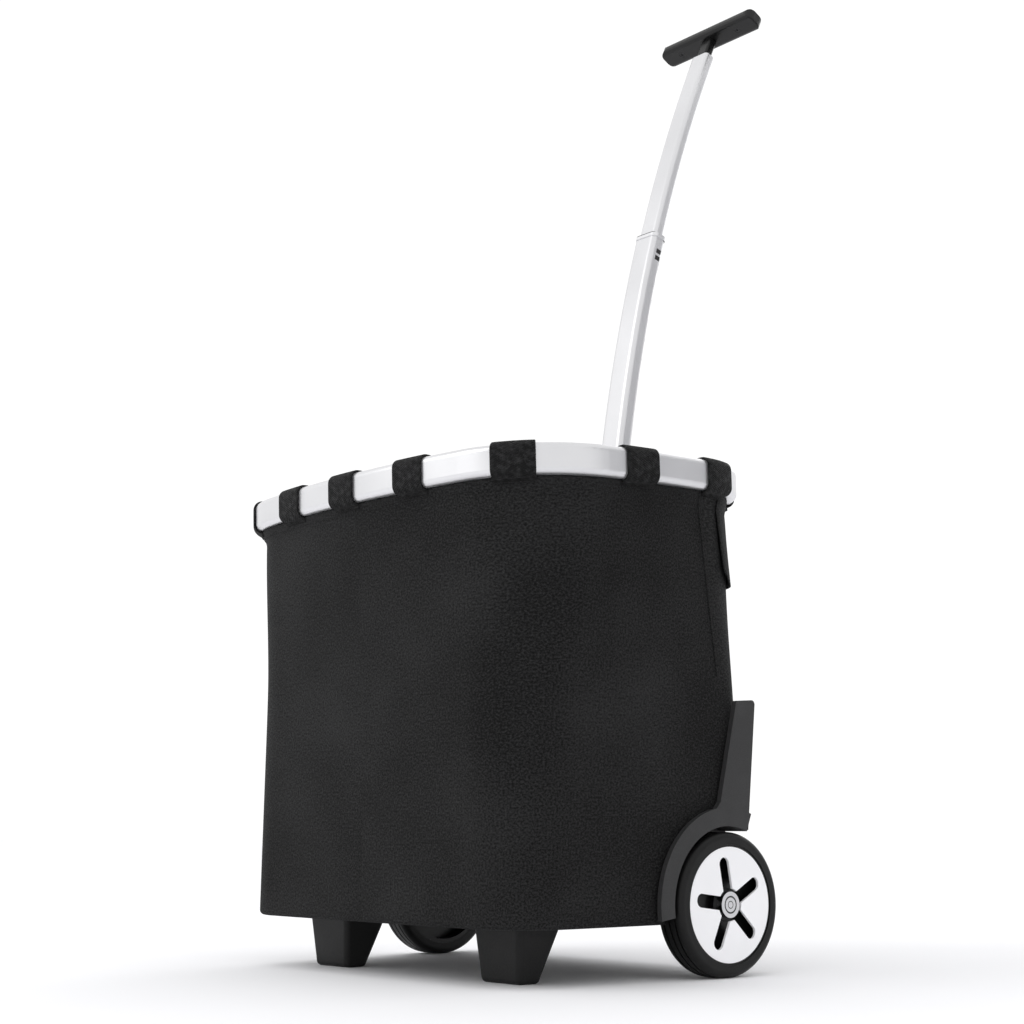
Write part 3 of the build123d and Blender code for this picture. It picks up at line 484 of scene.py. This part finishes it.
def oval(half, front, back, bows, corners, inset=0.0, counts=(28, 18, 44, 16, 28)):
    """Points of an oval and their outward normals, from its front middle round by +X.
    An arc through a chord of half length c and height h has the radius (c^2 + h^2) / 2h."""
    half, front, back = (np.atleast_1d(np.asarray(v, dtype=float))[:, None] for v in (half, front, back))
    bow_front, bow_side, bow_back = (np.atleast_1d(np.asarray(b, dtype=float))[:, None] for b in bows)
    corner_front, corner_back = (np.atleast_1d(np.asarray(c, dtype=float))[:, None] for c in corners)
    chord_x = half - bow_side
    chord_low, chord_high = bow_front - front, back - bow_back
    chord_y = (chord_high - chord_low) / 2
    radius_front = (chord_x**2 + bow_front**2) / (2 * bow_front)
    radius_side = (chord_y**2 + bow_side**2) / (2 * bow_side)
    radius_back = (chord_x**2 + bow_back**2) / (2 * bow_back)
    zero = np.zeros_like(half)
    centre_front = np.concatenate([zero, radius_front - front], axis=1)
    centre_side = np.concatenate([half - radius_side, (chord_low + chord_high) / 2], axis=1)
    centre_back = np.concatenate([zero, back - radius_back], axis=1)
    turn_front = crossing(
        centre_front, radius_front - corner_front, centre_side, radius_side - corner_front, 1
    )
    turn_back = crossing(
        centre_back, radius_back - corner_back, centre_side, radius_side - corner_back, -1
    )

    def bearing(start, end):
        away = end - start
        return np.arctan2(away[:, 1], away[:, 0])[:, None]

    low, high = np.full_like(half, -math.pi / 2), np.full_like(half, math.pi / 2)
    angles = [low, bearing(centre_front, turn_front), bearing(centre_side, turn_front)]
    angles += [bearing(centre_side, turn_back), bearing(centre_back, turn_back), high]
    stretches = [
        (centre_front, radius_front, angles[0], angles[1]),
        (turn_front, corner_front, angles[1], angles[2]),
        (centre_side, radius_side, angles[2], angles[3]),
        (turn_back, corner_back, angles[3], angles[4]),
        (centre_back, radius_back, angles[4], angles[5]),
    ]
    points, normals = [], []
    for (centre, radius, start, end), count in zip(stretches, counts):
        steps = np.linspace(0, 1, count, endpoint=False)[None, :]
        angle = start + (end - start) * steps
        normal = np.stack([np.cos(angle), np.sin(angle)], axis=-1)
        points.append(centre[:, None, :] + normal * (radius - inset)[..., None])
        normals.append(normal)
    last = np.stack([zero, back - inset], axis=-1)
    points.append(last)
    normals.append(np.stack([zero, zero + 1], axis=-1))
    points, normals = np.concatenate(points, axis=1), np.concatenate(normals, axis=1)
    mirror = np.array([-1, 1])
    points = np.concatenate([points, points[:, -2:0:-1] * mirror], axis=1)
    normals = np.concatenate([normals, normals[:, -2:0:-1] * mirror], axis=1)
    return points, normals


# The rim's plane leans back a little, so it rises from front to back.
rim_top = 396.7 * MM
rim_lean = math.radians(1.73)


def on_rim(points):
    """Points from the rim's own axes (X, Y, height above the rim's top) to the frame's axes."""
    x, y, z = points[..., 0], points[..., 1], points[..., 2]
    lean_y = rim_y + y * math.cos(rim_lean) - z * math.sin(rim_lean)
    lean_z = rim_top + y * math.sin(rim_lean) + z * math.cos(rim_lean)
    return np.stack([x, lean_y, lean_z], axis=-1)


rim_height, rim_thickness = 24 * MM, 13 * MM
rim_half, rim_reach = 210 * MM, 146.5 * MM
rim_bows = (21.8 * MM, 11.4 * MM, 21.8 * MM)
rim_corners = (90.5 * MM, 90.5 * MM)
rim_line, _ = oval(rim_half, rim_reach, rim_reach, rim_bows, rim_corners, rim_thickness / 2)
print("rim line has", rim_line.shape[1], "points")

# %% [markdown]
# ## The bag
# The bag is one strip of cloth, sewn into an oval at the hem, with a sharper cornered bottom. Each
# row of the grid is an oval whose sizes pass smoothly from the hem through the waist to the floor.
# Under its bottom edge the same grid turns in and runs to the middle, so the bag is one skin.

# %% Shape of the bag
hem_drop = 24.4 * MM
floor_z, waist_z = 42 * MM, 215 * MM
hem_z = rim_top - hem_drop * math.cos(rim_lean)
hem_rows, wall_rows = 9, 78
hem_band = 16 * MM                     # the height that the first rows share
bag_rows = hem_rows + wall_rows
soften = 34 * MM                       # how far a change of slope is spread out


def passing(height, floor_value, waist_value, hem_value):
    """A size in metres from three in millimetres: linear from floor to waist to hem, and averaged
    over a stretch of height, so that its slope changes slowly."""
    at = height[None, :] + np.linspace(-soften, soften, 9)[:, None]
    low = (waist_value - floor_value) / (waist_z - floor_z)
    high = (hem_value - waist_value) / (hem_z - waist_z)
    size = waist_value + (at - waist_z) * np.where(at < waist_z, low, high)
    return size.mean(axis=0) * MM


def smooth_step(value):
    """0 below 0, 1 above 1, and the curve 3v^2 - 2v^3 between them."""
    value = np.clip(value, 0, 1)
    return value * value * (3 - 2 * value)


edge = 4.0 * MM                        # rounding of the bottom edge
heights = np.linspace(hem_z - hem_band, floor_z + edge, wall_rows)
heights = np.concatenate([np.linspace(hem_z, hem_z - hem_band, hem_rows, endpoint=False), heights])


def towards_hem(below, length):
    """0 to 1 up the wall: it starts at a distance below the hem and takes a length to get there."""
    return smooth_step((heights - hem_z + below) / length)


# The hem is pulled up against the rim's underside, so the cloth flares there: first slowly, and then
# once more in the hem itself. The back takes only a part of it, because the pole is close behind.
slow_flare, hem_flare, back_share = 4.2 * MM, 4.0 * MM, 0.3
flare = slow_flare * towards_hem(150 * MM, 140 * MM) + hem_flare * towards_hem(13 * MM, 13 * MM)
# Below: the half width, the reach to the front and to the back, the three bows and the two corners.
bow_low, bow_hems = 2.5, ((19.7, 0.14), (9.4, 0.14), (9.0, 0.1))       # front, sides, back
bag_oval, bag_out = oval(
    passing(heights, 182.0, 184.0, 195.4) + flare,
    passing(heights, 125.0, 125.0, 131.9) + flare,
    passing(heights, 119.5, 120.8, 124.5) + flare * back_share,
    [passing(heights, bow_low, bow_low, bow) + flare * share for bow, share in bow_hems],
    [
        passing(heights, 48.0, 60.0, 76.0) + flare,
        passing(heights, 18.0, 24.0, 74.0) + flare * back_share,
    ],
)
# Behind, the hem reaches back under the rim as well, but stays in front of the pole at the middle. The
# power keeps this to the wall that faces straight back.
back_reach, pole_room, pole_blend, facing_power = 10 * MM, 24 * MM, 45 * MM, 8
hem_reach = back_reach * towards_hem(48 * MM, 48 * MM)
beside_pole = smooth_step((np.abs(bag_oval[..., 0]) - pole_room) / pole_blend)
beside_pole = beside_pole * np.clip(bag_out[..., 1], 0, 1) ** facing_power
bag_oval = bag_oval + bag_out * (hem_reach[:, None] * beside_pole)[..., None]
lean_share = ((heights - floor_z - edge) / (hem_z - floor_z - edge)) ** 2
bag_z = heights[:, None] + bag_oval[..., 1] * np.tan(rim_lean) * lean_share[:, None]
bag_wall = np.concatenate([bag_oval + [0, rim_y], bag_z[..., None]], axis=-1)
print("bag wall", bag_wall.shape, "z", bag_wall[..., 2].min().round(3), bag_wall[..., 2].max().round(3))

# %% [markdown]
# The bottom edge is a quarter circle. After it the rows shrink towards the middle of the floor.

# %% Bottom of the bag
edge_steps, floor_steps = 4, 25
turns = np.linspace(0, math.pi / 2, edge_steps + 1)[1:]
last_row, last_out = bag_oval[-1], bag_out[-1]
edge_rows = last_row[None] - last_out[None] * (edge * (1 - np.cos(turns)))[:, None, None]
edge_z = floor_z + edge - edge * np.sin(turns)
shrink = np.linspace(1, 0, floor_steps + 1)[1:]
floor_rows = edge_rows[-1][None] * shrink[:, None, None]
under = np.concatenate([edge_rows, floor_rows])
under_z = np.concatenate([edge_z, np.full(len(shrink), floor_z)])
under_z = np.broadcast_to(under_z[:, None], under.shape[:2])
bag_under = np.concatenate([under + [0, rim_y], under_z[..., None]], axis=-1)
bag_points = np.concatenate([bag_wall, bag_under])
print("bag grid", bag_points.shape)

# %% [markdown]
# ## Openings for the wheels
# The wheels stand partly inside the bag's outline, each under its own moulded arch. Faces that lie
# wholly inside an arch are left out, and the points round that hole are pushed out to its edge.

# %% Openings for the wheels
well = 64.5 * MM                       # radius of the holes in the cloth, hidden by the arches
side_from = 150 * MM                   # points further out than this are near an arch or an arm
from_axle = bag_points[..., 1:] - axle[1:]
distance = np.linalg.norm(from_axle, axis=-1)
beside = np.abs(bag_points[..., 0]) > side_from
inside = (distance < well) & beside
pushed = from_axle / np.maximum(distance, MM)[..., None] * well + axle[1:]
moved = np.concatenate([bag_points[..., :1], pushed], axis=-1)
on_floor = moved[..., 2] < floor_z
bag_faces = grid_faces(*bag_points.shape[:2], True)
bag_chart = grid_chart(bag_points, True).reshape(-1, 4, 2)
kept = ~inside.ravel()[bag_faces].all(axis=1)
bag_points = np.where((inside & ~on_floor)[..., None], moved, bag_points)
bag_faces = bag_faces[kept][:, ::-1]
bag_chart = bag_chart[kept][:, ::-1].reshape(-1, 2)
bag = make_piece("bag", bag_points, bag_faces, bag_chart, bag_cloth)
print("points in the wheel openings", int(inside.sum()))

# %% [markdown]
# ## Letting the cloth settle
# A bag that hangs from loops isn't a perfect oval: it sags between them and buckles softly. The wall
# is given a little more cloth than its shape needs and then falls for some frames, held at its hem, at
# its bottom edge and beside the arches and the arms. How far any other point may move is limited, and
# the limit is smaller at the back, where the pole is near.


# %% Cloth simulation
def read_points(piece):
    """A mesh's points as an array with three columns."""
    spots = np.empty(len(piece.data.vertices) * 3)
    piece.data.vertices.foreach_get("co", spots)
    return spots.reshape(-1, 3)


def settle(piece, held, frames, limit):
    """Runs Blender's Cloth with held points, and moves no point further than its own limit."""
    start = read_points(piece)
    group = piece.vertex_groups.new(name="held")
    group.add(np.flatnonzero(held).tolist(), 1.0, "REPLACE")
    cloth = piece.modifiers.new("cloth", "CLOTH")
    cloth.settings.vertex_group_mass = "held"
    cloth.settings.quality = 5
    cloth.settings.mass = 0.25
    cloth.settings.tension_stiffness = 25
    cloth.settings.compression_stiffness = 12
    cloth.settings.shear_stiffness = 8
    cloth.settings.bending_stiffness = 6
    cloth.settings.shrink_min = -0.010         # a percent more cloth than the shape needs
    cloth.collision_settings.use_collision = False
    cloth.point_cache.frame_start = 1
    cloth.point_cache.frame_end = frames
    for number in range(1, frames + 1):
        bpy.context.scene.frame_set(number)
    settled = piece.evaluated_get(bpy.context.evaluated_depsgraph_get())
    shift = read_points(settled) - start
    bpy.context.scene.frame_set(1)
    piece.modifiers.remove(cloth)
    piece.vertex_groups.remove(group)
    length = np.linalg.norm(shift, axis=1, keepdims=True)
    shift *= np.minimum(1, limit[:, None] / np.maximum(length, 1e-9))
    piece.data.vertices.foreach_set("co", (start + shift).ravel())
    return shift


rows, columns = bag_points.shape[:2]
row_number = np.repeat(np.arange(rows), columns)
spots = bag_points.reshape(-1, 3)
arch_reach = 78 * MM                   # from the axle
arm_from, arm_top = rim_y + 60 * MM, 225 * MM
near_arch = beside.ravel() & (np.linalg.norm(spots[:, 1:] - axle[1:], axis=1) < arch_reach)
near_arm = beside.ravel() & (spots[:, 1] > arm_from) & (spots[:, 2] < arm_top)
held = (row_number < hem_rows) | (row_number >= bag_rows - 1) | near_arch | near_arm
frames, furthest = 24, 6.0 * MM
back_from, back_blend, back_hold = rim_y + 70 * MM, 40 * MM, 0.9
freeing_rows = 14                  # rows from a held row to the first that may move furthest
free = np.minimum(row_number - hem_rows, bag_rows - 1 - row_number) / freeing_rows
at_back = smooth_step((spots[:, 1] - back_from) / back_blend)
limit = furthest * np.clip(free, 0, 1) * (1 - back_hold * at_back)
shift = settle(bag, held, frames, np.where(held, 0, limit))
print("cloth moved at most", np.abs(shift).max().round(4))
bag_settled = read_points(bag).reshape(rows, columns, 3)

# %% [markdown]
# The skin grows its thickness inwards, so that its outer face stays where it is. It stands for the
# five panels of the CAD model.

# %% Thickness of the cloth
cloth_wall = bag.modifiers.new("thickness", "SOLIDIFY")
cloth_wall.thickness = 0.9 * MM
cloth_wall.offset = -1
panels = ("bag_front_panel", "bag_back_panel", "bag_left_panel", "bag_right_panel", "bag_floor_panel")
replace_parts(bag, *panels)
print("bag faces", len(bag.data.polygons))

# %% [markdown]
# ## Flap behind the bag
# A second layer of the same cloth hangs from the hem over the upper back and round both rear corners.
# It is a copy of the bag's own surface there, lifted along its normals, and a little more towards its
# lower edge at the bag's corners, where nothing holds it. Its two ends are rounded below.

# %% Back flap
flap_low = 300 * MM
flap_from = rim_y + 72 * MM            # the flap is behind this
flap_rows = int((heights > flap_low).sum())
flap_columns = np.flatnonzero(bag_wall[hem_rows, :, 1] > flap_from)
flap_base = bag_settled[:flap_rows][:, flap_columns]
flap_out = bag_out[:flap_rows][:, flap_columns]
drop = np.linspace(0, 1, flap_rows)[:, None]
corner_x, corner_blend = 110 * MM, 60 * MM
lift_all, lift_corner = 0.5 * MM, 2.8 * MM
end_from, end_height = 0.93, 9 * MM    # the share of the half width that stays square, and the rounding
at_corner = smooth_step((np.abs(flap_base[..., 0]) - corner_x) / corner_blend)
lift = lift_all + lift_corner * drop**2 * at_corner
flap_points = flap_base.copy()
flap_points[..., :2] += flap_out * lift[..., None]
end = np.abs(np.linspace(-1, 1, len(flap_columns)))[None, :]
flap_points[..., 2] += end_height * smooth_step((end - end_from) / (1 - end_from)) * drop**3
flap = grid_piece("back_flap", flap_points[:, ::-1], bag_cloth, closed=False)
flap_wall = flap.modifiers.new("thickness", "SOLIDIFY")
flap_wall.thickness = 0.8 * MM
flap_wall.offset = 1
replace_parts(flap, "bag_back_flap")

# %% [markdown]
# ## Thread and piping
# A line of stitches runs round the hem: one thread that dips under the cloth and comes out again, so
# its height over the cloth is a wave. The seams at the rear corners are covered by a round piping.


# %% Threads and piping
def tube_points(line, out, up, radius, sides=6):
    """A ring of points round each point of a line: out and up turned by a circle's cosine and sine."""
    angle = np.linspace(0, 2 * math.pi, sides, endpoint=False)
    radius = np.broadcast_to(radius, len(line))[:, None, None]
    ring = out[:, None] * np.cos(angle)[None, :, None] + up[:, None] * np.sin(angle)[None, :, None]
    return line[:, None] + ring * radius


def even_loop(line, out, count):
    """A closed line and its normals, resampled at even steps."""
    line, out = np.concatenate([line, line[:1]]), np.concatenate([out, out[:1]])
    length = np.concatenate([[0], np.cumsum(np.linalg.norm(np.diff(line, axis=0), axis=1))])
    even = np.linspace(0, length[-1], count)
    return [np.stack([np.interp(even, length, v[:, k]) for k in range(3)], axis=-1) for v in (line, out)]


stitch_row, stitches, stitch_steps = 4, 290, 10
stitch_depth, thread_radius = 0.35 * MM, 0.28 * MM
flat_out = np.concatenate([bag_out, np.zeros_like(bag_out[..., :1])], axis=-1)
line, out = even_loop(bag_settled[stitch_row], flat_out[stitch_row], stitches * stitch_steps + 1)
wave = np.sin(np.linspace(0, 2 * math.pi * stitches, len(line)))
up = np.tile([0.0, 0.0, 1.0], (len(line), 1))
thread_line = line + out * (wave * stitch_depth)[:, None]
grid_piece("hem_thread", tube_points(thread_line, out, up, thread_radius), thread)

seam_low, seam_x, seam_y = 228 * MM, 190 * MM, rim_y + 52 * MM
piping_radius, piping_sides = 0.9 * MM, 10
seam_rows = np.flatnonzero(heights > seam_low)
for side, name in ((1, "right"), (-1, "left")):
    wanted = np.array([side * seam_x, seam_y])
    column = np.linalg.norm(bag_wall[hem_rows, :, :2] - wanted, axis=1).argmin()
    line = bag_settled[seam_rows, column]
    out = flat_out[seam_rows, column]
    along = np.stack([-out[:, 1], out[:, 0], out[:, 2]], axis=-1)
    tube = tube_points(line, out, along, piping_radius, piping_sides)
    grid_piece("piping_" + name, tube[::-1], bag_cloth)
print("thread with", stitches, "stitches and two seams")

# %% [markdown]
# ## Webbing loops
# Thirteen loops of black webbing go round the rim and are sewn to the bag below it. A loop is a
# narrow rounded rectangle, the webbing's own section, carried up from a short tail on the hem and
# round the rim's section to its underside. The width follows the rim's line, which curves under it.


# %% Loops
def rounded_section(width, thickness, radius, steps):
    """Outline of a rounded rectangle, clockwise from its top right corner."""
    half_w, half_t = width / 2 - radius, thickness / 2 - radius
    corners = ((half_w, half_t, 90), (half_w, -half_t, 0), (-half_w, -half_t, -90), (-half_w, half_t, 180))
    spots = []
    for x, y, begin in corners:
        angle = np.radians(np.linspace(begin, begin - 90, steps))
        spots.append(np.stack([x + radius * np.cos(angle), y + radius * np.sin(angle)], axis=-1))
    return np.concatenate(spots)


def long_sides(section, steps):
    """Adds points to an outline's two long sides, so that webbing can bend across its width."""
    half = len(section) // 2
    joined = []
    for part, after in ((section[:half], section[half]), (section[half:], section[0])):
        share = np.linspace(0, 1, steps)[1:-1, None]
        joined += [part, part[-1] * (1 - share) + after * share]
    return np.concatenate(joined)


rim_closed = np.concatenate([rim_line[0], rim_line[0][:1]])
rim_lengths = np.concatenate([[0], np.cumsum(np.linalg.norm(np.diff(rim_closed, axis=0), axis=1))])
outer_oval, _ = oval(rim_half, rim_reach, rim_reach, rim_bows, rim_corners)
outer_closed = np.concatenate([outer_oval[0], outer_oval[0][:1]])
outer_length = np.linalg.norm(np.diff(outer_closed, axis=0), axis=1).sum()


def rim_point(share):
    """Point of the rim's middle line at a length along it."""
    share = share % rim_lengths[-1]
    return np.stack([np.interp(share, rim_lengths, rim_closed[:, k]) for k in range(2)], axis=-1)


def along_rim(distance):
    """Point and outward normal of the middle line at a distance from the outer face's front middle."""
    share = distance / outer_length * rim_lengths[-1]
    way = rim_point(share + MM) - rim_point(share - MM)
    way /= np.linalg.norm(way, axis=-1, keepdims=True)
    return rim_point(share), np.stack([way[..., 1], -way[..., 0]], axis=-1)


strap_width, strap_thickness, strap_gap = 33 * MM, 1.8 * MM, 0.3 * MM
tail_length = 4.5 * MM                 # how far the tail reaches below the rim
tail_row = 2                           # the row of the bag that the tail lies on
tail_gap, under_gap = 1.5 * MM, 0.4 * MM          # where the tail starts to bend under the loop
bend = 5 * MM                          # radius of the rim's edges under the webbing
section_round = 0.75 * MM
line_steps = 64


def loop_line(cloth_out):
    """The webbing's middle, as outward and up from the rim's middle. It starts low on the tail, which
    lies on the cloth, climbs outside the rim, goes over it and comes back under it."""
    off = strap_gap + strap_thickness / 2
    half_out, half_up = rim_thickness / 2 + off, rim_height / 2 + off
    radius = bend + off
    ring = []
    for x, y, begin in ((1, -1, -90), (1, 1, 0), (-1, 1, 90), (-1, -1, 180)):
        angle = np.radians(np.linspace(begin, begin + 90, 9))
        centre = np.array([x * (half_out - radius), y * (half_up - radius)])
        ring.append(centre + radius * np.stack([np.cos(angle), np.sin(angle)], axis=-1))
    tail_out = min(cloth_out + off, half_out - radius)
    low = -rim_height / 2 - tail_length
    tail = np.stack([np.full(4, tail_out), np.linspace(low, -half_up - tail_gap, 4)], axis=-1)
    under = np.array([[tail_out * 0.5 + (half_out - radius) * 0.5, -half_up - under_gap]])
    return np.concatenate([tail, under, *ring])


def smooth_line(points, count):
    """A line with its corners cut twice, a quarter in from each end, and then evenly spaced."""
    for _ in range(2):
        before, after = points[:-1], points[1:]
        cut = np.stack([before * 0.75 + after * 0.25, before * 0.25 + after * 0.75], axis=1)
        points = np.concatenate([points[:1], cut.reshape(-1, points.shape[1]), points[-1:]])
    lengths = np.concatenate([[0], np.cumsum(np.linalg.norm(np.diff(points, axis=0), axis=1))])
    even = np.linspace(0, lengths[-1], count)
    return np.stack([np.interp(even, lengths, points[:, k]) for k in range(points.shape[1])], axis=-1)


def cloth_beside(base, out):
    """How far out from a point of the rim's middle line the bag's cloth lies. Points of the bag that
    are further off than `nearby` get a metre added, so that they are never the nearest."""
    nearby = 60 * MM
    away = bag_wall[tail_row, :, :2] - [0, rim_y] - base
    across = np.abs(away[:, 0] * out[1] - away[:, 1] * out[0])
    near = across + (np.linalg.norm(away, axis=1) > nearby)
    return float((away[near.argmin()] * out).sum())


section = long_sides(rounded_section(strap_width, strap_thickness, section_round, 4), 9)


def strap_piece(name, distance, node):
    """A webbing loop: each point is the rim's point at its width, plus its line's outward and up."""
    middle_base, middle_out = along_rim(np.array(distance))
    line = smooth_line(loop_line(cloth_beside(middle_base, middle_out)), line_steps)
    way = np.gradient(line, axis=0)
    way /= np.linalg.norm(way, axis=1, keepdims=True)
    normal = np.stack([way[:, 1], -way[:, 0]], axis=-1)
    base, out = along_rim(distance + section[:, 0])
    offset = line[:, None, :] + normal[:, None, :] * section[None, :, 1:2]
    flat = base[None] + out[None] * offset[..., :1]
    points = on_rim(np.concatenate([flat, offset[..., 1:] - rim_height / 2], axis=-1))
    middle_end = points.mean(axis=1, keepdims=True)
    first, last = (np.repeat(middle_end[k], len(section), axis=0)[None] for k in (0, -1))
    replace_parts(grid_piece(name, np.concatenate([first, points, last]), webbing), node)


# Places are millimetres along the rim's outer face, from its front middle towards the right.
strap_places = {"front_left": -87.0, "front_middle": -5.0, "front_right": 80.0}
pairs = {"corner_front": 179.0, "side_front": 285.0, "side_back": 375.0, "corner_back": 462.0, "back": 545.0}
for pair, place in pairs.items():
    strap_places[pair + "_left"] = -place
    strap_places[pair + "_right"] = place
for place_name, place in strap_places.items():
    strap_piece("webbing_" + place_name, place * MM, "strap_" + place_name)
print("loops", len(strap_places))

# %% [markdown]
# ## Spring in the grip
# A coil spring under the button pushes it back up. It is a helix round the button's own axis, made as
# a tube.

# %% Release spring
press = next(joint for joint in frame["joints"] if joint["name"] == "release_press")
spring_up = -np.array(press["axis"], dtype=float)
spring_side = np.array([1.0, 0.0, 0.0])
spring_across = np.cross(spring_up, spring_side)
spring_spots = read_points(nodes["release_spring"])
middle_spot = (spring_spots.min(axis=0) + spring_spots.max(axis=0)) / 2
levels = (spring_spots - middle_spot) @ spring_up
radius_out = np.abs((spring_spots - middle_spot) @ spring_side).max()
wire, coils, coil_steps, wire_sides = 0.35 * MM, 6, 26, 8
low, high = levels.min() + wire, levels.max() - wire
spin = np.linspace(0, 2 * math.pi * coils, coils * coil_steps)
radial = np.cos(spin)[:, None] * spring_side + np.sin(spin)[:, None] * spring_across
climb = np.linspace(low, high, len(spin))[:, None] * spring_up
coil_line = middle_spot + radial * (radius_out - wire) + climb
wire_radius = np.full(len(spin), wire)
wire_radius[[0, -1]] = 0               # closed at both ends
upright = np.tile(spring_up, (len(spin), 1))
coil_points = tube_points(coil_line, radial, upright, wire_radius, wire_sides)
coil = grid_piece("spring_coil", coil_points, steel, body="pole_inner")
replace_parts(coil, "release_spring")
travel = 2.5 * MM                      # how far the button goes down
spring_length = levels.max() - levels.min()
1 - travel / spring_length
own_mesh(coil)
print("spring", round(float(spring_length), 4), "m long")
